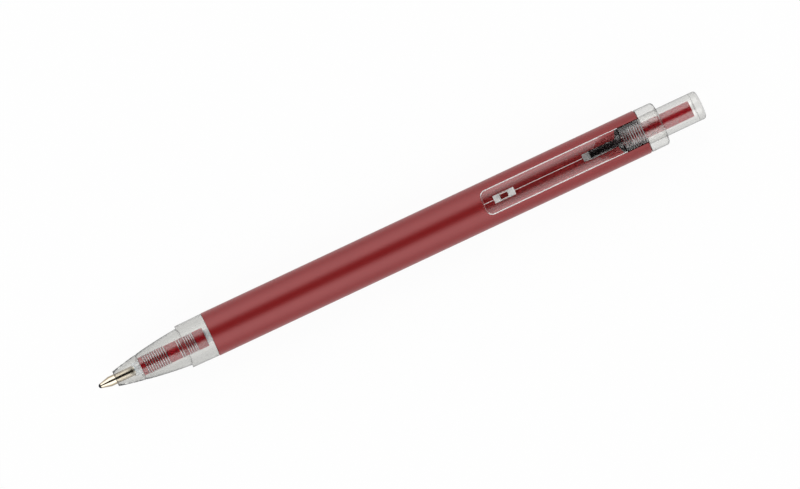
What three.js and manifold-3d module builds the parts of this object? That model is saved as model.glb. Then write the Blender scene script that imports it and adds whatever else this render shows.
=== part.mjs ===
// A retractable ball pen: clear nose cone, red tube, clear pocket clip and clear push button.
// Millimetres, +Z up. The pen lies on its tube with the point towards -X, the button towards +X
// and the clip on top. The origin is under the middle of the pen, on the surface that it lies on.
// It is shown ready to write, with the point out.
import * as THREE from 'three';
import { mergeVertices, toCreasedNormals } from 'three/addons/utils/BufferGeometryUtils.js';
import Module from 'manifold-3d';

const wasm = await Module();
wasm.setup();

// Sides of the round forms
const SIDES = 48;
const SMALL_SIDES = 28;
const CURVE_STEPS = 8;
const ROUND_STEPS = 4;

// Writing ball and metal point
const BALL_RADIUS = 0.5;
const BALL_CLEARANCE = 0.05;
const BALL_SHOWN = 0.3;
const LIP_WIDTH = 0.1;
const POINT_RADIUS = 1.15;
const POINT_CONE_LENGTH = 2.3;
const POINT_CONE_BULGE = 0.28;
const POINT_LENGTH = 8.2;
const POINT_SPIGOT_LENGTH = 3.5;
const INK_CHANNEL_RADIUS = 0.3;

// Refill
const REFILL_LENGTH = 106.8;
const TUBE_RADIUS = 1.5;
const TUBE_WALL = 0.45;
const SPIGOT_CLEARANCE = 0.04;
const INK_LENGTH = 72;
const FOLLOWER_LENGTH = 4;
const FOLLOWER_DISH = 0.4;
const INK_CLEARANCE = 0.05;
const INK_GAP = 0.2;

// Sleeve on the refill, and the spring round it
const SLEEVE_CLEARANCE = 0.05;
const SLEEVE_WALL = 0.45;
const SLEEVE_LEAD = 0.9;
const SLEEVE_FLANGE_LENGTH = 2.15;
const SLEEVE_FLANGE_HEIGHT = 0.2;
const SLEEVE_CHAMFER = 0.08;
const WIRE_RADIUS = 0.125;
const SPRING_ROOM = 12.05;
const SPRING_CLEARANCE = 0.05;
const SPRING_CLOSED_PITCH = 0.67;
// Turns from the front seat backwards; an open run takes its share of the length that the
// closed ones leave.
const SPRING_RUNS = [
  { turns: 8, share: 0 },
  { turns: 1, share: 0.72 },
  { turns: 1, share: 0 },
  { turns: 1, share: 0.28 },
  { turns: 3, share: 0 },
];
const COIL_STEPS = 8;
const WIRE_SIDES = 5;

// Nose cone
const POINT_SHOWN = 3.98;
const NOSE_TAPER_LENGTH = 16.2;
const NOSE_LAND_LENGTH = 6.3;
const NOSE_SPIGOT_LENGTH = 6.5;
const NOSE_RIM_WALL = 0.48;
const NOSE_BULGE_WALL = 1.06;
const NOSE_BULGE_PLACE = 8.4;
const NOSE_STEP_HEIGHT = 0.55;
const NOSE_LAND_TAPER = 0.08;
const NOSE_REVEAL = 0.05;
const NOSE_EDGE = 0.12;
const POINT_CLEARANCE = 0.12;
const TUBE_CLEARANCE = 0.15;
const SLEEVE_BORE_CLEARANCE = 0.15;
const BORE_STEP_GAP = 0.27;
const SPRING_SHOULDER = 7.02;
const CHAMBER_CLEARANCE = 0.14;
const CHAMBER_LENGTH = 8;
const CHAMBER_FLARE_LENGTH = 2.5;
const CHAMBER_FLARE = 0.48;

// Barrel, which reaches back over the refill and the push mechanism
const BARREL_RADIUS = 5;
const BARREL_WALL = 0.6;
const BARREL_REAR_ROUND = 0.4;
const BARREL_FRONT_EDGE = 0.1;
const FIT_CLEARANCE = 0.07;
const SEAT_GAP = 0.05;

// Clip
const CLIP_LENGTH = 33.1;
const CLIP_ROOT_LENGTH = 6.6;
const CLIP_ROOT_DROP = 1.9;
const CLIP_ROOT_DIP = 1.1;
const CLIP_WIDTH = 5.7;
const CLIP_THICKNESS = 1.25;
const CLIP_CROWN = 0.6;
const CLIP_CORNER = 1.45;
const CLIP_GAP = 1.05;
const CLIP_SKIN = 0.1;
const NUB_PLACE = 4.95;
const NUB_LENGTH = 5;
const NUB_WIDTH = 1.65;
const NUB_FOOT_LENGTH = 1.8;
const NUB_FOOT_WIDTH = 0.9;
const NUB_CLEARANCE = 0.1;
const RIB_WIDTH = 1.6;
const RIB_LENGTH = 9.33;
const RIB_SLOPE = 1.6;
const RIB_DEPTH = 0.4;
const GUSSET_LENGTH = 1.1;
const RISER_THICKNESS = 0.7;
const SLOT_CLEARANCE = 0.25;
const NOTCH_CLEARANCE = 0.14;

// End collar
const TONGUE_LENGTH = 5.2;
const TONGUE_WIDTH = 5.4;
const TONGUE_RIBS = 8;
const TONGUE_RIB_PITCH = 0.56;
const TONGUE_GROOVE_WIDTH = 0.28;
const TONGUE_GROOVE_DEPTH = 0.3;
const TONGUE_LEAD = 0.35;
const COLLAR_LENGTH = 4.35;
const COLLAR_ROUND = 0.8;
const COLLAR_LIP = 0.7;
const COLLAR_REVEAL = 0.05;
const HINGE_GAP = 0.05;

// Push button
const BUTTON_RADIUS = 3.25;
const BUTTON_SHOWN = 9.5;
const BUTTON_ROUND = 0.75;
const BUTTON_WALL = 0.95;
const BUTTON_END_WALL = 1.6;
const BUTTON_CLEARANCE = 0.12;
const FLANGE_HEIGHT = 0.28;
const FLANGE_LENGTH = 2;
const SKIRT_WALL = 0.5;
const KEY_LENGTH = 7;
const KEY_ANGLE = 50;
const CAVITY_STEP = 1.5;
const CROWN_TEETH = 6;
const TOOTH_HEIGHT = 0.9;
const TOOTH_GAP = 0.12;
const TOOTH_ANGLE = 58;

// Cam rotor and its guide
const STEM_RADIUS = 1.775;
const STEM_CLEARANCE = 0.125;
const STEM_PLAY = 1.05;
const STEM_CHAMFER = 0.12;
const ROTOR_RADIUS = 2.3;
const ROTOR_BODY_LENGTH = 6.6;
const PILOT_LENGTH = 2;
const PILOT_CLEARANCE = 0.2;
const PILOT_SEAT = 0.1;
const FIN_COUNT = 3;
const FIN_ANGLE = 14;
const FIN_LENGTH = 2.8;
const FIN_PLACE = 5.1;
const RIDGE_ANGLE = 40;
const RIDGE_CLEARANCE = 0.1;
const CAM_LEAD = 12;
const GUIDE_WALL = 0.88;
const GUIDE_GAP = 0.4;
const GUIDE_LEAD = 2.6;
const RUN_CLEARANCE = 0.15;
const CAM_GAP = 0.1;
const MECHANISM_LENGTH = 22.78;

// Strokes: how far the button comes back out, and how far past the lock it goes in
const RETRACT_STROKE = 5;
const OVERTRAVEL = 1.2;

// Stations along the axis, from the ball's tip backwards
const rimStation = POINT_SHOWN;
const stepStation = rimStation + NOSE_TAPER_LENGTH;
const barrelFront = stepStation + NOSE_LAND_LENGTH;
const barrelRear = REFILL_LENGTH + MECHANISM_LENGTH;
const collarFront = barrelRear + SEAT_GAP;
const collarRear = collarFront + COLLAR_LENGTH;
const buttonEnd = collarRear + BUTTON_SHOWN;
const tongueFront = collarFront - TONGUE_LENGTH;
const clipRear = tongueFront - HINGE_GAP;
const clipFront = clipRear - CLIP_LENGTH;
const springFront = rimStation + SPRING_SHOULDER;
const springRear = springFront + SPRING_ROOM;
const sleeveFront = springFront - SLEEVE_LEAD;
const pointRear = BALL_SHOWN + POINT_LENGTH;
const rotorFront = REFILL_LENGTH + PILOT_SEAT;
const rotorRear = rotorFront + ROTOR_BODY_LENGTH;
const camStation = rotorFront + FIN_PLACE;
const guideFront = camStation - GUIDE_LEAD;
const guideRear = tongueFront - GUIDE_GAP;
const crownFront = rotorRear + TOOTH_HEIGHT + TOOTH_GAP;
const flangeRear = collarRear - COLLAR_LIP - RETRACT_STROKE - SEAT_GAP;
const flangeFront = flangeRear - FLANGE_LENGTH;
const cavityEnd = buttonEnd - BUTTON_END_WALL;
const stemEnd = cavityEnd - STEM_PLAY;

// Radii that follow from what fits in what
const tubeBore = TUBE_RADIUS - TUBE_WALL;
const sleeveBore = TUBE_RADIUS + SLEEVE_CLEARANCE;
const sleeveRadius = sleeveBore + SLEEVE_WALL;
const coilRadius = (sleeveRadius + SPRING_CLEARANCE + WIRE_RADIUS) / Math.cos(Math.PI / COIL_STEPS);
const tipBore = POINT_RADIUS + POINT_CLEARANCE;
const refillBore = TUBE_RADIUS + TUBE_CLEARANCE;
const sleeveRoom = sleeveRadius + SLEEVE_BORE_CLEARANCE;
const chamberRadius = coilRadius + WIRE_RADIUS + CHAMBER_CLEARANCE;
const barrelBore = BARREL_RADIUS - BARREL_WALL;
const spigotRadius = barrelBore - FIT_CLEARANCE;
const landRadius = BARREL_RADIUS - NOSE_REVEAL;
const collarRadius = BARREL_RADIUS - COLLAR_REVEAL;
const buttonHole = BUTTON_RADIUS + BUTTON_CLEARANCE;
const buttonFlange = BUTTON_RADIUS + FLANGE_HEIGHT;
const collarBore = buttonFlange + BUTTON_CLEARANCE;
const skirtBore = STEM_RADIUS + STEM_CLEARANCE;
const skirtRadius = skirtBore + SKIRT_WALL;
const ridgeRadius = Math.max(skirtRadius, ROTOR_RADIUS) + RIDGE_CLEARANCE;
const guideBore = spigotRadius - GUIDE_WALL;
const finRadius = guideBore - RUN_CLEARANCE;
const clipUnderside = BARREL_RADIUS + CLIP_GAP;
const clipTop = clipUnderside + CLIP_THICKNESS;
const ribFoot = BARREL_RADIUS - RIB_DEPTH;
const reach = 2 * BARREL_RADIUS;

// Closed solids and the joining and cutting of them

function solid(geometry) {
  const plain = geometry.clone();
  plain.deleteAttribute('normal');
  plain.deleteAttribute('uv');
  const merged = mergeVertices(plain, 1e-5);
  const triangles = Uint32Array.from(merged.index.array);
  const vertices = Float32Array.from(merged.attributes.position.array);
  const made = new wasm.Manifold(
    new wasm.Mesh({ numProp: 3, vertProperties: vertices, triVerts: triangles }),
  );
  if (made.volume() > 0) return made;
  for (let i = 0; i < triangles.length; i += 3) {
    [triangles[i], triangles[i + 1]] = [triangles[i + 1], triangles[i]];
  }
  return new wasm.Manifold(
    new wasm.Mesh({ numProp: 3, vertProperties: vertices, triVerts: triangles }),
  );
}

function joined(solids) {
  return solids.reduce((whole, piece) => whole.add(piece));
}

function meshOf(name, shape, look) {
  const { vertProperties, triVerts } = shape.getMesh();
  const geometry = new THREE.BufferGeometry();
  geometry.setAttribute('position', new THREE.BufferAttribute(Float32Array.from(vertProperties), 3));
  geometry.setIndex(new THREE.BufferAttribute(Uint32Array.from(triVerts), 1));
  const mesh = new THREE.Mesh(
    toCreasedNormals(geometry, Math.PI / 7),
    new THREE.MeshStandardMaterial(look),
  );
  mesh.name = name;
  return mesh;
}

// Forms along the pen's axis: a profile is a list of [station, radius]

function revolved(profile, sides = SIDES) {
  const points = profile.map(([station, radius]) => new THREE.Vector2(radius, station));
  const [first, last] = [profile[0], profile[profile.length - 1]];
  if (first[1] > 0 || last[1] > 0) points.push(points[0].clone());
  const geometry = new THREE.LatheGeometry(points, sides, Math.PI / sides);
  return solid(geometry.rotateZ(-Math.PI / 2));
}

function rod(front, rear, radius, sides = SIDES) {
  return revolved([[front, 0], [front, radius], [rear, radius], [rear, 0]], sides);
}

function quarterRound(station, radius, size, fromDegrees, steps = ROUND_STEPS) {
  // An arc about [station, radius]: 0 degrees points backwards and 90 outwards.
  return Array.from({ length: steps + 1 }, (_, i) => {
    const turn = THREE.MathUtils.degToRad(fromDegrees - (90 * i) / steps);
    return [station + size * Math.cos(turn), radius + size * Math.sin(turn)];
  });
}

// A plan outline, drawn from above as [station, sideways], raised between two heights

function raised(outline, low, high) {
  const shape = new THREE.Shape(outline.map(([x, y]) => new THREE.Vector2(x, y)));
  const geometry = new THREE.ExtrudeGeometry(shape, { depth: high - low, bevelEnabled: false });
  return solid(geometry.translate(0, 0, low));
}

function mirroredOutline(half) {
  // From the points on one side of the axis to the whole outline.
  return [...half, ...half.map(([x, y]) => [x, -y]).reverse()];
}

// A block that bends round the axis between two angles, with its front and rear faces given as
// functions of the angle in degrees. Angle 0 is on top of the pen and grows towards -Y.

function sector(inner, outer, from, to, front, rear, steps) {
  const positions = [];
  const index = [];
  for (let i = 0; i <= steps; i += 1) {
    const angle = from + ((to - from) * i) / steps;
    const turn = THREE.MathUtils.degToRad(angle);
    for (const [x, r] of [
      [front(angle), inner],
      [front(angle), outer],
      [rear(angle), outer],
      [rear(angle), inner],
    ]) {
      positions.push(x, -r * Math.sin(turn), r * Math.cos(turn));
    }
  }
  for (let i = 0; i < steps; i += 1) {
    for (let k = 0; k < 4; k += 1) {
      const a = 4 * i + k;
      const b = 4 * i + ((k + 1) % 4);
      index.push(a, b, b + 4, a, b + 4, a + 4);
    }
  }
  const end = 4 * steps;
  index.push(0, 2, 1, 0, 3, 2, end, end + 1, end + 2, end, end + 2, end + 3);
  const geometry = new THREE.BufferGeometry();
  geometry.setAttribute('position', new THREE.Float32BufferAttribute(positions, 3));
  geometry.setIndex(index);
  return solid(geometry);
}

// Looks
const clearPlastic = { color: 0xd9dad6, roughness: 0.12, metalness: 0, transparent: true, opacity: 0.4 };
const redLacquer = { color: 0x8f1f26, roughness: 0.42, metalness: 0.1 };
const redPlastic = { color: 0x8a1320, roughness: 0.35, metalness: 0 };
const darkPlastic = { color: 0x1b1d2b, roughness: 0.4, metalness: 0 };
const whitePlastic = { color: 0xdfe4ea, roughness: 0.45, metalness: 0 };
const nickelSilver = { color: 0xd8c8a8, roughness: 0.2, metalness: 1 };
const steel = { color: 0xc9ccd0, roughness: 0.22, metalness: 1 };
const carbide = { color: 0x15161a, roughness: 0.15, metalness: 0.8 };
const blueInk = { color: 0x14205c, roughness: 0.3, metalness: 0 };
const grease = { color: 0xd8d2b8, roughness: 0.5, metalness: 0 };

function noseCone() {
  const rim = tipBore + NOSE_RIM_WALL;
  const step = landRadius - NOSE_LAND_TAPER - NOSE_STEP_HEIGHT;
  const taper = new THREE.QuadraticBezierCurve(
    new THREE.Vector2(rimStation, rim),
    new THREE.Vector2(rimStation + NOSE_BULGE_PLACE, chamberRadius + NOSE_BULGE_WALL),
    new THREE.Vector2(stepStation, step),
  );
  const tipBoreEnd = pointRear - OVERTRAVEL - BORE_STEP_GAP;
  const tubeBoreEnd = sleeveFront - OVERTRAVEL - BORE_STEP_GAP;
  const chamberEnd = springFront + CHAMBER_LENGTH;
  const flareEnd = chamberEnd + CHAMBER_FLARE_LENGTH;
  const spigotEnd = barrelFront + NOSE_SPIGOT_LENGTH;
  const chamberRear = chamberRadius + CHAMBER_FLARE;
  return revolved([
    ...taper.getPoints(CURVE_STEPS).map((p) => [p.x, p.y]),
    [stepStation, landRadius - NOSE_LAND_TAPER - NOSE_EDGE],
    [stepStation + NOSE_EDGE, landRadius - NOSE_LAND_TAPER],
    [barrelFront - SEAT_GAP, landRadius],
    [barrelFront - SEAT_GAP, spigotRadius],
    [spigotEnd - NOSE_EDGE, spigotRadius],
    [spigotEnd, spigotRadius - NOSE_EDGE],
    [spigotEnd, chamberRear],
    [flareEnd, chamberRear],
    [chamberEnd, chamberRadius],
    [springFront, chamberRadius],
    [springFront, sleeveRoom],
    [tubeBoreEnd, sleeveRoom],
    [tubeBoreEnd, refillBore],
    [tipBoreEnd, refillBore],
    [tipBoreEnd, tipBore],
    [rimStation, tipBore],
  ]);
}

function notchOutline() {
  // The opening in the rear of the barrel: a slot for the clip's rib, which widens into the notch.
  const slot = RIB_WIDTH / 2 + SLOT_CLEARANCE;
  const notch = CLIP_WIDTH / 2 + NOTCH_CLEARANCE;
  const wide = clipRear - RISER_THICKNESS - NOTCH_CLEARANCE;
  return mirroredOutline([
    [clipRear - RIB_LENGTH - SLOT_CLEARANCE + RIB_SLOPE / 2, slot],
    [wide - GUSSET_LENGTH, slot],
    [wide, notch],
    [barrelRear + reach, notch],
  ]);
}

function barrel() {
  const tube = revolved([
    [barrelFront, barrelBore],
    [barrelFront, BARREL_RADIUS - BARREL_FRONT_EDGE],
    [barrelFront + BARREL_FRONT_EDGE, BARREL_RADIUS],
    ...quarterRound(
      barrelRear - BARREL_REAR_ROUND,
      BARREL_RADIUS - BARREL_REAR_ROUND,
      BARREL_REAR_ROUND,
      90,
    ),
    [barrelRear, barrelBore],
  ]);
  return tube.subtract(raised(notchOutline(), 0, reach));
}

function clipPlan() {
  const half = CLIP_WIDTH / 2;
  const corner = Array.from({ length: ROUND_STEPS + 1 }, (_, i) => {
    const turn = (Math.PI / 2) * (i / ROUND_STEPS);
    return [
      clipFront + CLIP_CORNER * (1 - Math.cos(turn)),
      half - CLIP_CORNER * (1 - Math.sin(turn)),
    ];
  });
  return mirroredOutline([...corner, [clipRear, half]]);
}

// A side outline of (station, height), a little wider than the clip

function sideOutline(points) {
  const shape = new THREE.ExtrudeGeometry(
    new THREE.Shape(points.map(([x, z]) => new THREE.Vector2(x, z))),
    { depth: 2 * CLIP_WIDTH, bevelEnabled: false },
  );
  return solid(shape.rotateX(Math.PI / 2).translate(0, CLIP_WIDTH, 0));
}

function clipArm() {
  const half = CLIP_WIDTH / 2;
  const crownRadius = (half * half + CLIP_CROWN * CLIP_CROWN) / (2 * CLIP_CROWN);
  const crown = rod(clipFront - 1, clipRear + 1, crownRadius, 2 * SIDES)
    .translate([0, 0, clipTop - crownRadius]);
  // Towards its root the plate slopes down, on top and underneath.
  const rootFront = clipRear - CLIP_ROOT_LENGTH;
  const past = (CLIP_ROOT_LENGTH + 1) / CLIP_ROOT_LENGTH;
  const rootUnderside = clipUnderside - CLIP_ROOT_DIP * past;
  const side = sideOutline([
    [clipFront - 1, clipUnderside],
    [clipFront - 1, clipTop],
    [rootFront, clipTop],
    [clipRear + 1, clipTop - CLIP_ROOT_DROP * past],
    [clipRear + 1, rootUnderside],
    [rootFront, clipUnderside],
  ]);
  const plate = raised(clipPlan(), rootUnderside, clipTop).intersect(crown).intersect(side);

  const ribFront = clipRear - RIB_LENGTH;
  const riserFront = clipRear - RISER_THICKNESS;
  const ribPlan = mirroredOutline([
    [ribFront, RIB_WIDTH / 2],
    [riserFront - GUSSET_LENGTH, RIB_WIDTH / 2],
    [riserFront, half],
    [clipRear, half],
  ]);
  const ribSide = sideOutline([
    [ribFront - 2 * RIB_SLOPE, 0],
    [ribFront - 2 * RIB_SLOPE, clipUnderside + CLIP_SKIN],
    [rootFront, clipUnderside + CLIP_SKIN],
    [clipRear + 1, rootUnderside + CLIP_SKIN],
    [clipRear + 1, 0],
  ]);
  const slope = sideOutline([
    [ribFront - RIB_SLOPE, ribFoot - CLIP_GAP],
    [ribFront - RIB_SLOPE, clipUnderside],
    [ribFront, clipUnderside],
    [ribFront + RIB_SLOPE, ribFoot],
    [ribFront + RIB_SLOPE, ribFoot - CLIP_GAP],
  ]);
  const rib = raised(ribPlan, ribFoot / 2, clipUnderside + CLIP_SKIN)
    .intersect(ribSide)
    .subtract(slope)
    .subtract(rod(ribFront - 1, clipRear + 1, ribFoot));
  return joined([plate, rib, clipNub()]);
}

function clipNub() {
  // A foot that narrows downwards on all four sides.
  const height = CLIP_GAP + CLIP_SKIN - NUB_CLEARANCE;
  const block = new THREE.BoxGeometry(1, 1, height).translate(0, 0, -height / 2);
  const corner = block.attributes.position;
  for (let i = 0; i < corner.count; i += 1) {
    const low = corner.getZ(i) < -height / 2;
    corner.setX(i, corner.getX(i) * (low ? NUB_FOOT_LENGTH : NUB_LENGTH));
    corner.setY(i, corner.getY(i) * (low ? NUB_FOOT_WIDTH : NUB_WIDTH));
  }
  return solid(block.translate(clipFront + NUB_PLACE, 0, clipUnderside + CLIP_SKIN));
}

function endCollar() {
  const lipFront = collarRear - COLLAR_LIP;
  const ring = revolved([
    [tongueFront, spigotRadius],
    [collarFront, spigotRadius],
    [collarFront, collarRadius],
    ...quarterRound(collarRear - COLLAR_ROUND, collarRadius - COLLAR_ROUND, COLLAR_ROUND, 90),
    [collarRear, buttonHole],
    [lipFront, buttonHole],
    [lipFront, collarBore],
    [tongueFront, collarBore],
  ]);
  const half = TONGUE_WIDTH / 2;
  const middle = (spigotRadius + collarBore) / 2;
  const plan = mirroredOutline([[tongueFront, half], [collarFront + SEAT_GAP, half]]);
  const filled = rod(tongueFront - 1, collarFront + 1, BARREL_RADIUS);
  const bore = rod(tongueFront - 1, collarFront + 1, middle);
  const tongue = raised(plan, 0, reach).intersect(filled).subtract(bore);
  let fitting = ring.add(tongue);
  for (let i = 0; i < TONGUE_RIBS; i += 1) {
    const groove = new THREE.BoxGeometry(TONGUE_GROOVE_WIDTH, CLIP_WIDTH, reach).translate(
      tongueFront + TONGUE_LEAD + i * TONGUE_RIB_PITCH + TONGUE_GROOVE_WIDTH / 2,
      0,
      BARREL_RADIUS - TONGUE_GROOVE_DEPTH + reach / 2,
    );
    fitting = fitting.subtract(solid(groove));
  }
  return fitting;
}

// A ring of saw teeth: each tooth's slope climbs from its root to its tip, along the axis

function sawTeeth(inner, outer, root, tip) {
  const pitch = 360 / CROWN_TEETH;
  const base = root - Math.sign(tip - root) * SKIRT_WALL;
  return Array.from({ length: CROWN_TEETH }, (_, i) => {
    const from = i * pitch;
    const slope = (angle) => root + ((tip - root) * (angle - from)) / TOOTH_ANGLE;
    return sector(inner, outer, from, from + TOOTH_ANGLE, slope, () => base, 3);
  });
}

function pushButton() {
  const crownRoot = crownFront + TOOTH_HEIGHT;
  const cavityRadius = BUTTON_RADIUS - BUTTON_WALL;
  const shell = revolved([
    [crownRoot, skirtBore],
    [crownRoot, skirtRadius],
    [flangeFront, skirtRadius],
    [flangeFront, buttonFlange],
    [flangeRear, buttonFlange],
    [flangeRear, BUTTON_RADIUS],
    ...quarterRound(buttonEnd - BUTTON_ROUND, BUTTON_RADIUS - BUTTON_ROUND, BUTTON_ROUND, 90),
    [buttonEnd, 0],
    [cavityEnd, 0],
    [cavityEnd, cavityRadius],
    [flangeRear + CAVITY_STEP, cavityRadius],
    [flangeRear, skirtBore],
  ]);
  const keyRadius = guideBore - RUN_CLEARANCE;
  const pitch = 360 / FIN_COUNT;
  const keys = Array.from({ length: FIN_COUNT }, (_, i) => {
    const middle = (i + 0.5) * pitch;
    const front = () => crownRoot;
    const rear = () => crownRoot + KEY_LENGTH;
    const inner = (skirtBore + skirtRadius) / 2;
    return sector(inner, keyRadius, middle - KEY_ANGLE / 2, middle + KEY_ANGLE / 2, front, rear, 4);
  });
  return joined([shell, ...keys, ...sawTeeth(skirtBore, skirtRadius, crownRoot, crownFront)]);
}

function camFace(angle) {
  // The helix that the fins slide along: CAM_LEAD degrees of turn for each millimetre.
  return camStation + angle / CAM_LEAD;
}

function camRotor() {
  const pilotRadius = tubeBore - PILOT_CLEARANCE;
  const body = revolved([
    [rotorFront - PILOT_LENGTH, 0],
    [rotorFront - PILOT_LENGTH, pilotRadius],
    [rotorFront, pilotRadius],
    [rotorFront, ROTOR_RADIUS],
    [rotorRear, ROTOR_RADIUS],
    [rotorRear, STEM_RADIUS],
    [stemEnd - STEM_CHAMFER, STEM_RADIUS],
    [stemEnd, STEM_RADIUS - STEM_CHAMFER],
    [stemEnd, 0],
  ]);
  const pitch = 360 / FIN_COUNT;
  const fins = Array.from({ length: FIN_COUNT }, (_, i) => {
    const middle = i * pitch;
    const inner = (STEM_RADIUS + ROTOR_RADIUS) / 2;
    const front = () => camStation - FIN_LENGTH;
    const rear = (angle) => camFace(angle - middle) - CAM_GAP;
    return sector(inner, finRadius, middle - FIN_ANGLE / 2, middle + FIN_ANGLE / 2, front, rear, 3);
  });
  const inner = (STEM_RADIUS + skirtBore) / 2;
  return joined([body, ...fins, ...sawTeeth(inner, ROTOR_RADIUS, rotorRear, rotorRear + TOOTH_HEIGHT)]);
}

function camGuide() {
  const tube = revolved([
    [guideFront, guideBore],
    [guideFront, spigotRadius],
    [guideRear, spigotRadius],
    [guideRear, guideBore],
  ]);
  const pitch = 360 / FIN_COUNT;
  const outer = (guideBore + spigotRadius) / 2;
  const ridges = Array.from({ length: FIN_COUNT }, (_, i) => {
    const middle = i * pitch;
    const front = (angle) => camFace(angle - middle);
    const rear = () => guideRear;
    return sector(ridgeRadius, outer, middle - RIDGE_ANGLE / 2, middle + RIDGE_ANGLE / 2, front, rear, 6);
  });
  return joined([tube, ...ridges]);
}

function refillTube() {
  return revolved([
    [pointRear, tubeBore],
    [pointRear, TUBE_RADIUS],
    [REFILL_LENGTH, TUBE_RADIUS],
    [REFILL_LENGTH, tubeBore],
  ], SMALL_SIDES);
}

function pointSocket() {
  // The lip is turned over the ball, and the spigot is pressed into the refill's tube.
  const seat = BALL_RADIUS + BALL_CLEARANCE;
  const lipAngle = Math.acos((BALL_RADIUS - BALL_SHOWN) / seat);
  const channelAngle = Math.PI - Math.asin(INK_CHANNEL_RADIUS / seat);
  const cavity = Array.from({ length: CURVE_STEPS - 1 }, (_, i) => {
    const turn = channelAngle + ((lipAngle - channelAngle) * i) / (CURVE_STEPS - 2);
    return [BALL_RADIUS - seat * Math.cos(turn), seat * Math.sin(turn)];
  });
  const lip = seat * Math.sin(lipAngle) + LIP_WIDTH;
  const coneEnd = BALL_SHOWN + POINT_CONE_LENGTH;
  const cone = new THREE.QuadraticBezierCurve(
    new THREE.Vector2(BALL_SHOWN, lip),
    new THREE.Vector2(BALL_SHOWN + POINT_CONE_LENGTH / 2, (lip + POINT_RADIUS) / 2 + POINT_CONE_BULGE),
    new THREE.Vector2(coneEnd, POINT_RADIUS),
  );
  const spigot = tubeBore - SPIGOT_CLEARANCE;
  const spigotEnd = pointRear + POINT_SPIGOT_LENGTH;
  return revolved([
    ...cone.getPoints(CURVE_STEPS - 2).map((p) => [p.x, p.y]),
    [pointRear - SEAT_GAP, POINT_RADIUS],
    [pointRear - SEAT_GAP, spigot],
    [spigotEnd, spigot],
    [spigotEnd, INK_CHANNEL_RADIUS],
    ...cavity,
  ], SMALL_SIDES);
}

function writingBall() {
  const ball = new THREE.SphereGeometry(BALL_RADIUS, SMALL_SIDES, SMALL_SIDES / 2);
  return solid(ball.rotateZ(-Math.PI / 2).translate(BALL_RADIUS, 0, 0));
}

function inkColumn() {
  const front = pointRear + POINT_SPIGOT_LENGTH + INK_GAP;
  const radius = tubeBore - INK_CLEARANCE;
  return revolved([
    [front, 0],
    [front, radius],
    [front + INK_LENGTH, radius],
    [front + INK_LENGTH - FOLLOWER_DISH, 0],
  ], SMALL_SIDES);
}

function inkFollower() {
  const front = pointRear + POINT_SPIGOT_LENGTH + INK_GAP + INK_LENGTH + INK_GAP;
  const radius = tubeBore - INK_CLEARANCE;
  return revolved([
    [front - FOLLOWER_DISH, 0],
    [front, radius],
    [front + FOLLOWER_LENGTH, radius],
    [front + FOLLOWER_LENGTH - FOLLOWER_DISH, 0],
  ], SMALL_SIDES);
}

function springSleeve() {
  const flange = sleeveRadius + SLEEVE_FLANGE_HEIGHT;
  const rear = springRear + SLEEVE_FLANGE_LENGTH;
  return revolved([
    [sleeveFront, sleeveBore],
    [sleeveFront, sleeveRadius - SLEEVE_CHAMFER],
    [sleeveFront + SLEEVE_CHAMFER, sleeveRadius],
    [springRear, sleeveRadius],
    [springRear, flange],
    [rear - SLEEVE_CHAMFER, flange],
    [rear, flange - SLEEVE_CHAMFER],
    [rear, sleeveBore],
  ], SMALL_SIDES);
}

// The centre line of the return spring, turn by turn, between its two seats

function coilLine() {
  const seat = SPRING_CLEARANCE + WIRE_RADIUS;
  const closed = SPRING_RUNS.filter((run) => run.share === 0);
  const closedLength = closed.reduce((sum, run) => sum + run.turns * SPRING_CLOSED_PITCH, 0);
  const openLength = SPRING_ROOM - 2 * seat - closedLength;
  const line = [];
  let station = springFront + seat;
  let turn = 0;
  for (const { turns, share } of SPRING_RUNS) {
    const length = share > 0 ? share * openLength : turns * SPRING_CLOSED_PITCH;
    const steps = turns * COIL_STEPS;
    for (let i = 0; i < steps; i += 1) {
      line.push([station + (length * i) / steps, turn + (2 * Math.PI * i) / COIL_STEPS]);
    }
    station += length;
    turn += 2 * Math.PI * turns;
  }
  line.push([station, turn]);
  return line.map(([x, a]) => new THREE.Vector3(x, -coilRadius * Math.sin(a), coilRadius * Math.cos(a)));
}

function leastGap(line) {
  let least = Infinity;
  for (let i = 0; i < line.length; i += 1) {
    for (let j = i + COIL_STEPS / 2; j < line.length; j += 1) {
      least = Math.min(least, line[i].distanceTo(line[j]));
    }
  }
  return least - 2 * WIRE_RADIUS;
}

function returnSpring() {
  const line = coilLine();
  console.log(`return_spring: least gap to itself ${leastGap(line).toFixed(2)} mm`);
  const positions = [];
  const index = [];
  line.forEach((centre) => {
    const outward = new THREE.Vector3(0, centre.y, centre.z).normalize();
    for (let k = 0; k < WIRE_SIDES; k += 1) {
      const turn = (2 * Math.PI * k) / WIRE_SIDES;
      const point = centre.clone().addScaledVector(outward, WIRE_RADIUS * Math.cos(turn));
      positions.push(point.x + WIRE_RADIUS * Math.sin(turn), point.y, point.z);
    }
  });
  for (let i = 0; i + 1 < line.length; i += 1) {
    for (let k = 0; k < WIRE_SIDES; k += 1) {
      const a = WIRE_SIDES * i + k;
      const b = WIRE_SIDES * i + ((k + 1) % WIRE_SIDES);
      index.push(a, b, b + WIRE_SIDES, a, b + WIRE_SIDES, a + WIRE_SIDES);
    }
  }
  const end = WIRE_SIDES * (line.length - 1);
  for (let k = 1; k + 1 < WIRE_SIDES; k += 1) {
    index.push(0, k + 1, k, end, end + k, end + k + 1);
  }
  const geometry = new THREE.BufferGeometry();
  geometry.setAttribute('position', new THREE.Float32BufferAttribute(positions, 3));
  geometry.setIndex(index);
  return solid(geometry);
}

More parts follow.
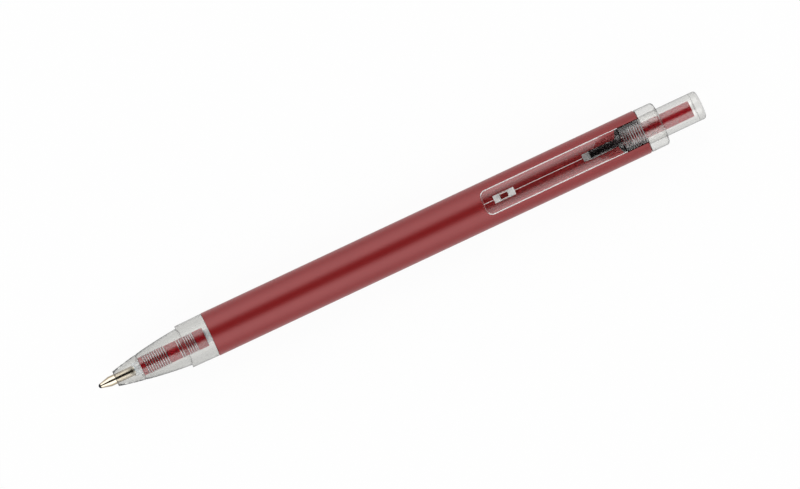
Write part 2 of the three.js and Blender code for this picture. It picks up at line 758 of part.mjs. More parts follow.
// The pen, with its middle over the origin and the barrel's lowest facet on the surface
const pen = new THREE.Group();
pen.position.set(-buttonEnd / 2, 0, BARREL_RADIUS * Math.cos(Math.PI / SIDES));
pen.add(
  meshOf('nose_cone', noseCone(), clearPlastic),
  meshOf('barrel', barrel(), redLacquer),
  meshOf('clip_arm', clipArm(), clearPlastic),
  meshOf('end_collar', endCollar(), clearPlastic),
  meshOf('push_button', pushButton(), clearPlastic),
  meshOf('cam_rotor', camRotor(), redPlastic),
  meshOf('cam_guide', camGuide(), darkPlastic),
  meshOf('refill_tube', refillTube(), whitePlastic),
  meshOf('point_socket', pointSocket(), nickelSilver),
  meshOf('writing_ball', writingBall(), carbide),
  meshOf('ink_column', inkColumn(), blueInk),
  meshOf('ink_follower', inkFollower(), grease),
  meshOf('spring_sleeve', springSleeve(), redPlastic),
  meshOf('return_spring', returnSpring(), steel),
);

const model = new THREE.Group();
model.add(pen);
export default model;
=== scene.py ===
"""A retractable ball pen with a satin red barrel and clear plastic nose, clip, collar and button.

Every piece is modelled in millimetres along the pen's axis: x is the station, measured from the
tip of the writing ball backwards, and y and z are measured from the axis. PLACE then puts it
where the frame has it.
"""

import math

import bmesh
import bpy
from mathutils import Matrix, Vector
from mathutils.geometry import interpolate_bezier


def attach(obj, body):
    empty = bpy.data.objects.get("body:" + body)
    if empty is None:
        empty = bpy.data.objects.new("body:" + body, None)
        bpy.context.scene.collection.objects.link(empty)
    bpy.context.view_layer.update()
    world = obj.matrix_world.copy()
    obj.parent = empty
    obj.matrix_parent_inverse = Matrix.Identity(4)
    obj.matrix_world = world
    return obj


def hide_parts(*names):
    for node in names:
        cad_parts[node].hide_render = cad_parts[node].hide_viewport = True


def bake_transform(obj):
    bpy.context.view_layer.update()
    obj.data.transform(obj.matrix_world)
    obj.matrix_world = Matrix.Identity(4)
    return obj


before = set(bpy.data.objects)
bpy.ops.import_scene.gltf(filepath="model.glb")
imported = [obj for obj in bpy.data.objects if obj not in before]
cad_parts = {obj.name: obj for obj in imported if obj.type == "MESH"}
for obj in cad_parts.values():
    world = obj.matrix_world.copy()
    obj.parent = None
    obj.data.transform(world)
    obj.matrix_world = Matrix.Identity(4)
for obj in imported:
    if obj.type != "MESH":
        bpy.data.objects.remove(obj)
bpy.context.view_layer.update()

scene = bpy.context.scene

PEN_LENGTH = 143.48
AXIS_HEIGHT = 4.98929
PLACE = Matrix.Translation((-PEN_LENGTH / 2000, 0, AXIS_HEIGHT / 1000)) @ Matrix.Scale(0.001, 4)
SIDES = 144
INNER_SIDES = 96

# Stations along the axis
RIM = 3.98
STEP = 20.18
BARREL_FRONT = 26.48
SPIGOT_REAR = 32.98
BARREL_REAR = 129.58
COLLAR_FRONT = 129.63
COLLAR_REAR = 133.98
TONGUE_FRONT = 124.43
CLIP_REAR = 124.38
CLIP_FRONT = 91.28
SPRING_FRONT = 11.0
SPRING_REAR = 23.05
SLEEVE_FRONT = 10.1
SOCKET_REAR = 12.0
TUBE_FRONT = 8.5
TUBE_REAR = 106.8
ROTOR_FRONT = 106.9
ROTOR_REAR = 113.5
CAM_STATION = 112.0
CROWN_FRONT = 114.52
FLANGE_FRONT = 126.23
FLANGE_REAR = 128.23
CAVITY_END = 141.88
STEM_END = 141.03
NUB_MIDDLE = CLIP_FRONT + 4.95
NUB_SPAN = (NUB_MIDDLE - 2.7, NUB_MIDDLE + 2.3)
LINE_END = 114.7
RIB_SLOPE_FRONT = 114.85
RIB_SLOPE_REAR = 116.65
ROOT_FRONT = CLIP_REAR - 6.6
RISER_FRONT = CLIP_REAR - 0.5

# Radii and heights from the axis
BALL_RADIUS = 0.5
BARREL_RADIUS = 5.0
BARREL_BORE = 4.4
SPIGOT_RADIUS = 4.33
COLLAR_RADIUS = 4.95
CLIP_UNDERSIDE = 6.05
CLIP_TOP = 7.3

# The clip's own measures
CLIP_HALF_WIDTH = 2.85
CLIP_ROUNDING = 0.2
CLIP_CROWN = 0.66
CLIP_HOLLOW = 0.36
LINE_HALF_WIDTH = 0.05
LINE_DEPTH = 0.04
ROOT_DROP = 1.9 / 6.6
ROOT_DIP = 0.26

# The saw teeth start a little past each sixth of a turn, so that their sides miss the edges of
# what they join
TOOTH_START = 0.4
TOOTH_SWEEP = 58


# Modelling

def outline(bm, points, closed=True):
    """Vertices joined by edges, from a list of (station, height) in the plane above the axis."""
    verts = [bm.verts.new((x, 0, z)) for x, z in points]
    for pair in zip(verts, verts[1:]):
        bm.edges.new(pair)
    if closed:
        bm.edges.new((verts[-1], verts[0]))
    return verts


def rounded_corners(bm, corners, segments):
    """Rounds single corners of an outline. Each corner is (station, height, size)."""
    for x, z, size in corners:
        near = min(bm.verts, key=lambda v: (v.co - Vector((x, 0, z))).length)
        bmesh.ops.bevel(bm, geom=[near], offset=size, offset_type="OFFSET", segments=segments,
                        profile=0.5, affect="VERTICES", material=-1)


def spun(profile, corners=(), sides=SIDES, segments=4):
    """A round form from its profile of (station, radius).

    A profile whose two ends are on the axis stays open there. Any other is closed first.
    """
    bm = bmesh.new()
    closed = profile[0][1] > 0 or profile[-1][1] > 0
    outline(bm, profile, closed)
    rounded_corners(bm, corners, segments)
    bmesh.ops.spin(bm, geom=bm.verts[:] + bm.edges[:], cent=(0, 0, 0), axis=(1, 0, 0),
                   dvec=(0, 0, 0), angle=2 * math.pi, steps=sides, use_merge=True)
    return tidied(bm)


def tidied(bm):
    """Merges doubles, drops what has no size, and turns every face outwards."""
    bmesh.ops.remove_doubles(bm, verts=bm.verts, dist=1e-4)
    bmesh.ops.dissolve_degenerate(bm, dist=1e-5, edges=bm.edges)
    bmesh.ops.recalc_face_normals(bm, faces=bm.faces)
    return bm


def everything(bm):
    """All of a form, as an operator takes it."""
    return bm.verts[:] + bm.edges[:] + bm.faces[:]


def sector(inner, outer, front, rear, start, sweep, steps=10):
    """A block bent round the axis. Angle 0 is on top and grows towards -Y."""
    bm = bmesh.new()
    bm.faces.new(outline(bm, [(front, inner), (front, outer), (rear, outer), (rear, inner)]))
    bmesh.ops.rotate(bm, verts=bm.verts, cent=(0, 0, 0),
                     matrix=Matrix.Rotation(math.radians(start), 3, "X"))
    bmesh.ops.spin(bm, geom=everything(bm), cent=(0, 0, 0), axis=(1, 0, 0), dvec=(0, 0, 0),
                   angle=math.radians(sweep), steps=steps)
    return tidied(bm)


def angle_on_axis(point):
    """The angle of a point round the axis, in degrees, counted as in sector."""
    return math.degrees(math.atan2(-point.y, point.z)) % 360


def saw_tooth(inner, outer, base, root, tip, start, sweep):
    """A sector whose end face climbs from root to tip as it turns."""
    bm = sector(inner, outer, base, root, start, sweep, 6)
    for vert in bm.verts:
        if abs(vert.co.x - root) < 1e-3:
            turned = ((angle_on_axis(vert.co) - start + 1) % 360) - 1
            vert.co.x = root + (tip - root) * turned / sweep
    return bm


def prism(points, low, high):
    """A plan outline of (station, sideways) raised between two heights."""
    bm = bmesh.new()
    base = bm.faces.new([bm.verts.new((x, y, low)) for x, y in points])
    made = bmesh.ops.extrude_face_region(bm, geom=[base])
    raised = [v for v in made["geom"] if isinstance(v, bmesh.types.BMVert)]
    bmesh.ops.translate(bm, verts=raised, vec=(0, 0, high - low))
    return tidied(bm)


def block(front, rear, half_width, low, high):
    """A plain block between two stations and two heights."""
    return prism([(front, -half_width), (front, half_width), (rear, half_width),
                  (rear, -half_width)], low, high)


def both_sides(half):
    """The whole outline from the points on one side of the axis."""
    return half + [(x, -y) for x, y in reversed(half)]


def sliced(bm, place, facing, remove=False):
    """Cuts through a form along a plane, or takes off what lies beyond it and closes the cut."""
    cut = bmesh.ops.bisect_plane(bm, geom=everything(bm), dist=1e-5, plane_co=place,
                                 plane_no=facing, clear_outer=remove)
    if remove:
        rim = [e for e in cut["geom_cut"] if isinstance(e, bmesh.types.BMEdge)]
        bmesh.ops.edgeloop_fill(bm, edges=rim)


def combined(bm, others, operation):
    """Joins other closed forms to a form, or cuts them from it."""
    target = loose_object(bm)
    tools = [loose_object(other) for other in others]
    for tool in tools:
        step = target.modifiers.new("combine", "BOOLEAN")
        step.operation = operation
        step.solver = "EXACT"
        step.object = tool
    bpy.context.view_layer.update()
    shaped = target.evaluated_get(bpy.context.evaluated_depsgraph_get())
    result = bmesh.new()
    result.from_mesh(shaped.to_mesh())
    shaped.to_mesh_clear()
    for item in [target, *tools]:
        mesh = item.data
        bpy.data.objects.remove(item)
        bpy.data.meshes.remove(mesh)
    return tidied(result)


def loose_object(bm):
    """Turns a form into an object, so that a modifier can use it."""
    mesh = bpy.data.meshes.new("form")
    bm.to_mesh(mesh)
    bm.free()
    item = bpy.data.objects.new("form", mesh)
    scene.collection.objects.link(item)
    return item


def inward_faces(bm):
    """The numbers of the faces that look towards the axis."""
    found = []
    for face in bm.faces:
        middle = face.calc_center_median()
        if face.normal.y * middle.y + face.normal.z * middle.z < -0.01:
            found.append(face.index)
    return found


def piece(name, bm, material, body, replaced, sharp=34, bore=None):
    """Puts a form in its place, as a piece that rides on a body and stands for a CAD node.

    A piece without a body stays loose. sharp is the
    angle, in degrees, past which an edge isn't shaded smooth. bore is the finish of the faces
    that look towards the axis.
    """
    tidied(bm)
    inward = inward_faces(bm)
    bm.transform(PLACE)
    for face in bm.faces:
        face.smooth = True
    mesh = bpy.data.meshes.new(name)
    bm.to_mesh(mesh)
    bm.free()
    mesh.set_sharp_from_angle(angle=math.radians(sharp))
    mesh.materials.append(material)
    if bore:
        mesh.materials.append(bore)
        for index in inward:
            mesh.polygons[index].material_index = 1
    made = bpy.data.objects.new(name, mesh)
    scene.collection.objects.link(made)
    if body:
        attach(made, body)
    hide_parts(replaced)
    return made


# Materials

def calculated(tree, operation, *values, clamp=False):
    """One step of arithmetic on numbers and other nodes' outputs."""
    node = tree.nodes.new("ShaderNodeMath")
    node.operation = operation
    node.use_clamp = clamp
    for socket, value in zip(node.inputs, values):
        if isinstance(value, bpy.types.NodeSocket):
            tree.links.new(value, socket)
        else:
            socket.default_value = value
    return node.outputs[0]


def ranged(tree, value, low, high, to_low=0, to_high=1, smooth=False):
    """Maps the range from low to high to another, which is 0 to 1 unless it is given."""
    node = tree.nodes.new("ShaderNodeMapRange")
    if smooth:
        node.interpolation_type = "SMOOTHSTEP"
    tree.links.new(value, node.inputs["Value"])
    node.inputs["From Min"].default_value = low
    node.inputs["From Max"].default_value = high
    node.inputs["To Min"].default_value = to_low
    node.inputs["To Max"].default_value = to_high
    return node.outputs[0]


def spread(tree, share, low, high):
    """Maps a 0 to 1 share to a range."""
    return ranged(tree, share, 0, 1, low, high)


def between(tree, share, first, second, blend="MIX"):
    """A colour between two, by a 0 to 1 share. Each is a colour or another node's output."""
    node = tree.nodes.new("ShaderNodeMix")
    node.data_type = "RGBA"
    node.blend_type = blend
    tree.links.new(share, node.inputs["Factor"])
    for label, colour in (("A", first), ("B", second)):
        if isinstance(colour, bpy.types.NodeSocket):
            tree.links.new(colour, node.inputs[label])
        else:
            node.inputs[label].default_value = (*colour, 1)
    return node.outputs["Result"]


def shaded(colour, share):
    """A darker colour, of which only a share is left."""
    return [share * part for part in colour]


def ramp(tree, share, stops):
    """Colours along a 0 to 1 share, from stops of (position, colour).

    All positions are set before the first colour, because the stops sort themselves.
    """
    node = tree.nodes.new("ShaderNodeValToRGB")
    tree.links.new(share, node.inputs[0])
    elements = node.color_ramp.elements
    while len(elements) < len(stops):
        elements.new(0.5)
    for element, (position, _) in zip(elements, stops):
        element.position = position
    for element, (_, colour) in zip(elements, stops):
        element.color = (*colour, 1)
    return node.outputs[0]


def noise(tree, place, scale, detail, distortion=0):
    """A cloudy grey, the finer the higher its scale. The scale may be another node's output."""
    node = tree.nodes.new("ShaderNodeTexNoise")
    node.inputs["Detail"].default_value = detail
    node.inputs["Distortion"].default_value = distortion
    tree.links.new(place, node.inputs["Vector"])
    if isinstance(scale, bpy.types.NodeSocket):
        tree.links.new(scale, node.inputs["Scale"])
    else:
        node.inputs["Scale"].default_value = scale
    return node.outputs["Fac"]


def on_piece(tree):
    """The place of a point on the piece."""
    return tree.nodes.new("ShaderNodeTexCoord").outputs["Object"]


def along_pen(tree):
    """The place of a point along the pen, in metres from the middle of its length."""
    parts = tree.nodes.new("ShaderNodeSeparateXYZ")
    tree.links.new(on_piece(tree), parts.inputs[0])
    return parts.outputs["X"]


def from_station(tree, front, rear, smooth=False):
    """Grows from 0 to 1 between two stations."""
    low, high = ((station - PEN_LENGTH / 2) / 1000 for station in (front, rear))
    return ranged(tree, along_pen(tree), low, high, smooth=smooth)


def edge_on(tree):
    """0 where a surface faces the view, and 1 where it is seen edge on."""
    node = tree.nodes.new("ShaderNodeLayerWeight")
    node.inputs["Blend"].default_value = 0.5
    return node.outputs["Facing"]


def mixed(tree, share, first, second):
    """A shader between two, by a 0 to 1 share."""
    node = tree.nodes.new("ShaderNodeMixShader")
    for socket, output in zip(node.inputs, (share, first, second)):
        tree.links.new(output, socket)
    return node.outputs[0]


def effect(name, inputs, outputs):
    """An empty node group with its inputs (name, default) and outputs."""
    group = bpy.data.node_groups.new(name, "ShaderNodeTree")
    for label, value in inputs:
        socket = group.interface.new_socket(label, in_out="INPUT", socket_type="NodeSocketFloat")
        socket.default_value = value
    for label in outputs:
        group.interface.new_socket(label, in_out="OUTPUT", socket_type="NodeSocketFloat")
    return group, group.nodes.new("NodeGroupInput"), group.nodes.new("NodeGroupOutput")


def moulded_grain():
    """The fine pebbled surface of a moulding, and the slow unevenness under it."""
    group, given, put = effect("moulded_grain", [("Grain size", 0.0002), ("Waviness", 0.3)],
                               ["Height", "Patches"])
    place = on_piece(group)
    rate = calculated(group, "DIVIDE", 1, given.outputs["Grain size"])
    grain = noise(group, place, rate, detail=2)
    slow = noise(group, place, scale=320, detail=1)
    wave = calculated(group, "MULTIPLY_ADD", slow, given.outputs["Waviness"], grain)
    group.links.new(wave, put.inputs["Height"])
    group.links.new(slow, put.inputs["Patches"])
    return group


def handling_marks():
    """Smears and hairline scratches along the pen, from being handled."""
    group, given, put = effect("handling_marks", [("Smears", 1.0), ("Scratches", 1.0)], ["Marks"])
    place = on_piece(group)
    lengthways, across = 90, 1900
    stretched = group.nodes.new("ShaderNodeMapping")
    stretched.inputs["Scale"].default_value = (lengthways, across, across)
    group.links.new(place, stretched.inputs["Vector"])
    lines = noise(group, stretched.outputs[0], scale=1, detail=3)
    hairlines = ranged(group, lines, 0.62, 0.74)
    clouds = noise(group, place, scale=190, detail=4, distortion=1.4)
    smears = ranged(group, clouds, 0.4, 0.75)
    scratches = calculated(group, "MULTIPLY", hairlines, given.outputs["Scratches"])
    marks = calculated(group, "MULTIPLY_ADD", smears, given.outputs["Smears"], scratches)
    group.links.new(marks, put.inputs["Marks"])
    return group


def turned_rings():
    """The fine rings that a lathe tool or a drawing die leaves round the pen's axis."""
    group, given, put = effect("turned_rings", [("Rings for each metre", 9000.0)], ["Height"])
    rings = group.nodes.new("ShaderNodeTexNoise")
    rings.noise_dimensions = "1D"
    rings.inputs["Detail"].default_value = 2
    group.links.new(along_pen(group), rings.inputs["W"])
    group.links.new(given.outputs["Rings for each metre"], rings.inputs["Scale"])
    group.links.new(rings.outputs["Fac"], put.inputs["Height"])
    return group


GRAIN = moulded_grain()
MARKS = handling_marks()
RINGS = turned_rings()


def placed(tree, group, **values):
    """An effect in a material, with its own values."""
    node = tree.nodes.new("ShaderNodeGroup")
    node.node_tree = group
    for label, value in values.items():
        node.inputs[label.replace("_", " ")].default_value = value
    return node


def principled(name):
    """A new material with its node tree and its shader."""
    material = bpy.data.materials.new(name)
    material.use_nodes = True
    return material, material.node_tree, material.node_tree.nodes["Principled BSDF"]


def coated(tree, shader, colour, roughness, height=None, bump=None):
    """Gives a shader its colour and roughness, and a bump of so many metres."""
    tree.links.new(colour, shader.inputs["Base Color"])
    tree.links.new(roughness, shader.inputs["Roughness"])
    if height:
        node = tree.nodes.new("ShaderNodeBump")
        node.inputs["Distance"].default_value = bump
        tree.links.new(height, node.inputs["Height"])
        tree.links.new(node.outputs["Normal"], shader.inputs["Normal"])


def grained(name, size, waviness, colours, roughness, bump):
    """A material whose colour and roughness vary in patches, under a moulded grain."""
    material, tree, shader = principled(name)
    grain = placed(tree, GRAIN, Grain_size=size, Waviness=waviness)
    patches = grain.outputs["Patches"]
    coated(tree, shader, between(tree, patches, *colours), spread(tree, patches, *roughness),
           grain.outputs["Height"], bump)
    return material, tree, shader


def clear_plastic(name, tint, wall, edge, shade):
    """Polished clear moulding, with painted shade where it is seen edge on, and fine marks from
    handling.

    wall and edge are the shares of its tint that are left at a slant and at its very edge, as a
    painted shade that darkens its outline. shade is the light that it lets through to what it
    throws its shadow on.
    """
    material, tree, shader = principled(name)
    shader.inputs["Transmission Weight"].default_value = 1
    shader.inputs["IOR"].default_value = 1.57
    grain = placed(tree, GRAIN, Grain_size=0.0012, Waviness=2.0)
    marks = placed(tree, MARKS, Smears=0.5, Scratches=0.6)
    # Painted shade: the tint darkens with the view's slant, for dark outlines at the edges.
    facing = edge_on(tree)
    face_on = between(tree, grain.outputs["Patches"], tint, shaded(tint, 0.985))
    walls = between(tree, ranged(tree, facing, 0.05, 0.26, smooth=True), face_on,
                    shaded(tint, wall))
    colour = between(tree, ranged(tree, facing, 0.5, 0.88, smooth=True), walls,
                     shaded(tint, edge))
    coated(tree, shader, colour, spread(tree, marks.outputs["Marks"], 0.0, 0.03),
           grain.outputs["Height"], 0.0000002)
    let_through = tree.nodes.new("ShaderNodeBsdfTransparent")
    let_through.inputs["Color"].default_value = (shade, shade, shade, 1)
    path = tree.nodes.new("ShaderNodeLightPath")
    both = mixed(tree, path.outputs["Is Shadow Ray"], shader.outputs[0], let_through.outputs[0])
    tree.links.new(both, tree.nodes["Material Output"].inputs["Surface"])
    return material


def frosted_plastic(name, white, through):
    """The same moulding with a frosted finish that scatters light, as white as given. Some copies
    below are painted highlight or shade instead of a real finish.
    """
    colours = (white, white, 0.99 * white), (0.9 * white, 0.9 * white, 0.89 * white)
    material, _, shader = grained(name, 0.0001, 0.5, colours, (0.5, 0.65), 0.00002)
    shader.inputs["Transmission Weight"].default_value = through
    shader.inputs["IOR"].default_value = 1.52
    return material


def satin_lacquer():
    """Deep red satin lacquer with a very fine grain."""
    material, tree, shader = principled("satin_lacquer")
    grain = placed(tree, GRAIN, Grain_size=0.00016, Waviness=0.6)
    marks = placed(tree, MARKS, Smears=0.6, Scratches=0.5)
    colour = between(tree, grain.outputs["Patches"], (0.237, 0.0067, 0.0078),
                     (0.222, 0.0061, 0.0072))
    coated(tree, shader, colour, spread(tree, marks.outputs["Marks"], 0.33, 0.29),
           grain.outputs["Height"], 0.000004)
    shader.inputs["Metallic"].default_value = 0.18
    shader.inputs["Specular IOR Level"].default_value = 0.66
    return material


def smooth_red(name, base):
    """Smooth red plastic of the pieces inside."""
    return grained(name, 0.0003, 1.0, (base, shaded(base, 0.88)), (0.2, 0.25), 0.000003)


def rubbed_red():
    """The red plastic again, scuffed matt in the two places where the spring rubs on it."""
    material, tree, shader = smooth_red("rubbed_sleeve", (0.44, 0.012, 0.020))
    front, rear = 10, 25
    stops = [(11.2, 0), (11.6, 1), (16.2, 1), (16.5, 0), (19.0, 0), (19.2, 0.8), (22.6, 0.8),
             (23.0, 0)]
    scuffed = ramp(tree, from_station(tree, front, rear),
                   [((station - front) / (rear - front), [level] * 3) for station, level in stops])
    unworn = shader.inputs["Roughness"].links[0].from_socket
    worn = tree.nodes.new("ShaderNodeMix")
    worn.inputs["B"].default_value = 0.55
    tree.links.new(scuffed, worn.inputs["Factor"])
    tree.links.new(unworn, worn.inputs["A"])
    tree.links.new(worn.outputs["Result"], shader.inputs["Roughness"])
    return material


def milky_plastic():
    """Translucent tube of the refill, with a faint painted glow where the sleeve ends, which lights
    up the shade between the sleeve and the barrel.
    """
    colours = (0.86, 0.90, 0.93), (0.81, 0.86, 0.89)
    material, tree, shader = grained("milky_tube", 0.0003, 1.0, colours, (0.32, 0.4), 0.000003)
    shader.inputs["Subsurface Weight"].default_value = 0.4
    shader.inputs["Subsurface Radius"].default_value = (1, 1, 1)
    shader.inputs["Subsurface Scale"].default_value = 0.0004
    # Painted light: a faint glow, though the tube is no lamp, brightens it in the shade between the
    # sleeve's rear and the barrel's front.
    glow = 0.16
    painted_glow = ramp(tree, from_station(tree, 25, 27),
                   [(0.0, (0, 0, 0)), (0.4, (0.97 * glow, glow, 1.02 * glow)), (1.0, (0, 0, 0))])
    tree.links.new(painted_glow, shader.inputs["Emission Color"])
    shader.inputs["Emission Strength"].default_value = 1
    return material


def turned_metal():
    """Nickel silver of the point, turned and polished, with ink on its lip and painted shade
    towards its outline.
    """
    material, tree, shader = principled("turned_metal")
    rings = placed(tree, RINGS, Rings_for_each_metre=9000)
    marks = placed(tree, MARKS, Smears=0.8, Scratches=0.2)
    ink, painted_edge_shade = (0.006, 0.006, 0.012), (0.56, 0.52, 0.47)
    bare = between(tree, rings.outputs["Height"], (0.72, 0.65, 0.53), (0.66, 0.58, 0.46))
    inked = between(tree, from_station(tree, 0.4, 0.62, smooth=True), ink, bare)
    # Painted shade: the metal's colour darkens as its surface turns edge on to the view.
    edge_shade_share = ranged(tree, edge_on(tree), 0.05, 0.5, smooth=True)
    colour = between(tree, edge_shade_share, inked, painted_edge_shade, "MULTIPLY")
    coated(tree, shader, colour, spread(tree, marks.outputs["Marks"], 0.1, 0.17),
           rings.outputs["Height"], 0.0000015)
    shader.inputs["Metallic"].default_value = 1
    return material


def drawn_wire():
    """Spring wire with faint lines from drawing."""
    material, tree, shader = principled("drawn_wire")
    grain = placed(tree, GRAIN, Grain_size=0.00008, Waviness=0.4)
    height = grain.outputs["Height"]
    colour = between(tree, grain.outputs["Patches"], (0.80, 0.80, 0.81), (0.70, 0.70, 0.72))
    coated(tree, shader, colour, spread(tree, height, 0.16, 0.3), height, 0.000002)
    shader.inputs["Metallic"].default_value = 1
    return material


def inked_ball():
    """Black carbide ball with a film of ink."""
    material, tree, shader = principled("inked_ball")
    marks = placed(tree, MARKS, Smears=1.0, Scratches=0.2).outputs["Marks"]
    colour = between(tree, marks, (0.008, 0.008, 0.010), (0.003, 0.004, 0.02))
    coated(tree, shader, colour, spread(tree, marks, 0.22, 0.4))
    shader.inputs["Specular IOR Level"].default_value = 0.12
    return material


def thick_liquid(name, base, rough):
    """Ink, or the grease behind it."""
    return grained(name, 0.0006, 2.0, (base, shaded(base, 0.8)), (rough, rough + 0.1), 0.000006)[0]


def dark_plastic():
    """Blue-black plastic of the guide in the barrel."""
    colours = (0.014, 0.008, 0.009), (0.018, 0.011, 0.012)
    return grained("dark_moulding", 0.0003, 1.0, colours, (0.26, 0.34), 0.000004)[0]


# The tints differ from piece to piece and are partly painted shade: the nose is much darker, the
# button and collar a little, for the grey of the shaded floor seen through them.
CLEAR_NOSE = clear_plastic("clear_nose_moulding", (0.60, 0.597, 0.575), 0.88, 0.12, 0.82)
CLEAR_CLIP = clear_plastic("clear_clip_moulding", (0.97, 0.97, 0.96), 1.0, 0.9, 0.95)
CLEAR_COLLAR = clear_plastic("clear_collar_moulding", (0.90, 0.895, 0.875), 0.72, 0.1, 0.92)
CLEAR_BUTTON = clear_plastic("clear_button_moulding", (0.80, 0.795, 0.775), 0.72, 0.1, 0.92)
CLEAR_BORE = clear_plastic("clear_bore", (0.99, 0.99, 0.985), 1.0, 0.9, 1.0)
FROSTED = frosted_plastic("frosted_moulding", 0.98, 0.1)
# Painted highlight: pale matt rims and middle line of the clip.
EDGE_HIGHLIGHT = frosted_plastic("painted_edge_highlight", 0.84, 0.2)
# Painted highlight: pale floors of the collar's rib grooves.
RIB_HIGHLIGHT = frosted_plastic("painted_rib_highlight", 0.5, 0.4)
MATT_SLOPE = frosted_plastic("matt_slope", 0.62, 0.4)
# Painted shade: a darker copy of the rib floors, near the tongue's front.
RIB_SHADE = frosted_plastic("painted_rib_shade", 0.22, 0.4)
# Painted shade: a near-black face for the gap between the clip and the collar.
SEAM_SHADE = frosted_plastic("painted_seam_shade", 0.01, 0.0)
LACQUER = satin_lacquer()
RED, _, _ = smooth_red("red_moulding", (0.42, 0.012, 0.020))
RUBBED = rubbed_red()
DARK = dark_plastic()
MILKY = milky_plastic()
METAL = turned_metal()
WIRE = drawn_wire()
BALL = inked_ball()
INK = thick_liquid("blue_ink", (0.005, 0.01, 0.09), 0.12)
GREASE = thick_liquid("clear_grease", (0.55, 0.5, 0.34), 0.35)


# Nose, point and refill

def curve(first, control, last, count):
    """Points of a quadratic curve, as (station, radius)."""
    a, c, b = (Vector((x, z, 0)) for x, z in (first, control, last))
    points = interpolate_bezier(a, a.lerp(c, 2 / 3), b.lerp(c, 2 / 3), b, count)
    return [(p.x, p.y) for p in points]


def nose_cone():
    """The cone with a fine groove round it, its land, and its spigot inside the barrel."""
    rim, cone, land = 1.75, 4.32, 4.95
    land_rear = BARREL_FRONT - 0.05
    rear_bore, spring_bore, throat, tube_bore, point_bore = 3.1, 2.62, 2.25, 1.65, 1.27
    taper = curve((RIM, rim), (12.38, 3.68), (STEP, cone), 28)
    groove = 2.935
    profile = [
        *taper[:10],
        (9.9, groove - 0.01), (9.96, groove - 0.07), (10.04, groove - 0.06), (10.1, groove + 0.02),
        *taper[11:],
        (STEP, land - 0.08), (land_rear, land), (land_rear, SPIGOT_RADIUS),
        (SPIGOT_REAR, SPIGOT_RADIUS), (SPIGOT_REAR, rear_bore), (21.5, rear_bore),
        (19.0, spring_bore), (SPRING_FRONT, spring_bore), (SPRING_FRONT, throat),
        (8.56, throat), (8.5, tube_bore), (7.2, tube_bore), (7.17, point_bore),
        (RIM, point_bore),
    ]
    corners = [
        (RIM, rim, 0.14), (STEP, land - 0.08, 0.08), (land_rear, land, 0.06),
        (STEP, cone, 0.05), (SPIGOT_REAR, SPIGOT_RADIUS, 0.15), (21.5, rear_bore, 0.6),
        (19.0, spring_bore, 0.6), (RIM, point_bore, 0.1),
    ]
    piece("nose", spun(profile, corners), CLEAR_NOSE, "root", "nose_cone",
          bore=CLEAR_BORE)


def point():
    """The metal point, with its lip round the ball and its shank inside the tube."""
    lip, body, shank, bore = 0.475, 1.12, 1.01, 0.3
    shoulder = TUBE_FRONT - 0.05
    profile = [
        *curve((0.27, lip), (1.46, 0.81), (2.65, body), 20),
        (shoulder, body), (shoulder, shank), (SOCKET_REAR, shank), (SOCKET_REAR, bore),
        (0.97, bore), (0.85, 0.42), (0.5, 0.55), (0.27, 0.456),
    ]
    corners = [(shoulder, body, 0.05), (SOCKET_REAR, shank, 0.1)]
    piece("metal_point", spun(profile, corners, INNER_SIDES), METAL, "refill",
          "point_socket")


def writing_ball():
    """The ball, turned so that its poles are on the axis."""
    bm = bmesh.new()
    seat = Matrix.Translation((BALL_RADIUS, 0, 0)) @ Matrix.Rotation(math.pi / 2, 4, "Y")
    bmesh.ops.create_uvsphere(bm, u_segments=48, v_segments=24, radius=BALL_RADIUS, matrix=seat)
    piece("ball", bm, BALL, "ball", "writing_ball")


def refill():
    """The milky tube, open at both ends."""
    bore, radius = 1.05, 1.5
    profile = [(TUBE_FRONT, bore), (TUBE_FRONT, radius), (TUBE_REAR, radius), (TUBE_REAR, bore)]
    corners = [(TUBE_FRONT, radius, 0.08), (TUBE_REAR, radius, 0.08)]
    piece("refill", spun(profile, corners, INNER_SIDES), MILKY, "refill",
          "refill_tube")


def sleeve():
    """The red sleeve on the refill, with the flange that the spring pushes back."""
    bore, radius, flange = 1.55, 2.06, 2.14
    rear = SPRING_REAR + 2.15
    profile = [
        (SLEEVE_FRONT, bore), (SLEEVE_FRONT, radius), (SPRING_REAR, radius),
        (SPRING_REAR, flange), (rear, flange), (rear, bore),
    ]
    corners = [(SLEEVE_FRONT, radius, 0.1), (rear, flange, 0.12)]
    piece("sleeve", spun(profile, corners, INNER_SIDES), RUBBED, "refill",
          "spring_sleeve")


def spring():
    """Wound half turn by half turn. The half turns over the top all lean the same way."""
    wire, coil, steps = 0.1, 2.2, 22
    # Stations at which the wire passes over the top: ten close turns, then the rear group
    tops = [11.3 + 0.544 * i for i in range(10)] + [19.2, 19.75, 20.85, 21.4, 21.93, 22.45, 22.83]
    lean = 0.27
    bm = bmesh.new()
    bmesh.ops.create_circle(bm, cap_ends=True, segments=10, radius=wire,
                            matrix=Matrix.Translation((tops[0] - lean / 2, coil, 0)))
    end = everything(bm)
    for i, middle in enumerate(tops):
        under = tops[i + 1] - middle - lean if i + 1 < len(tops) else 0
        for advance in (lean, under):
            if advance:
                made = bmesh.ops.spin(bm, geom=end, cent=(0, 0, 0), axis=(1, 0, 0),
                                      dvec=(advance / steps, 0, 0), angle=math.pi, steps=steps)
                end = made["geom_last"]
    wound = piece("spring", bm, WIRE, None, "return_spring", 60)
    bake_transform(wound)


# Barrel, clip, collar and button

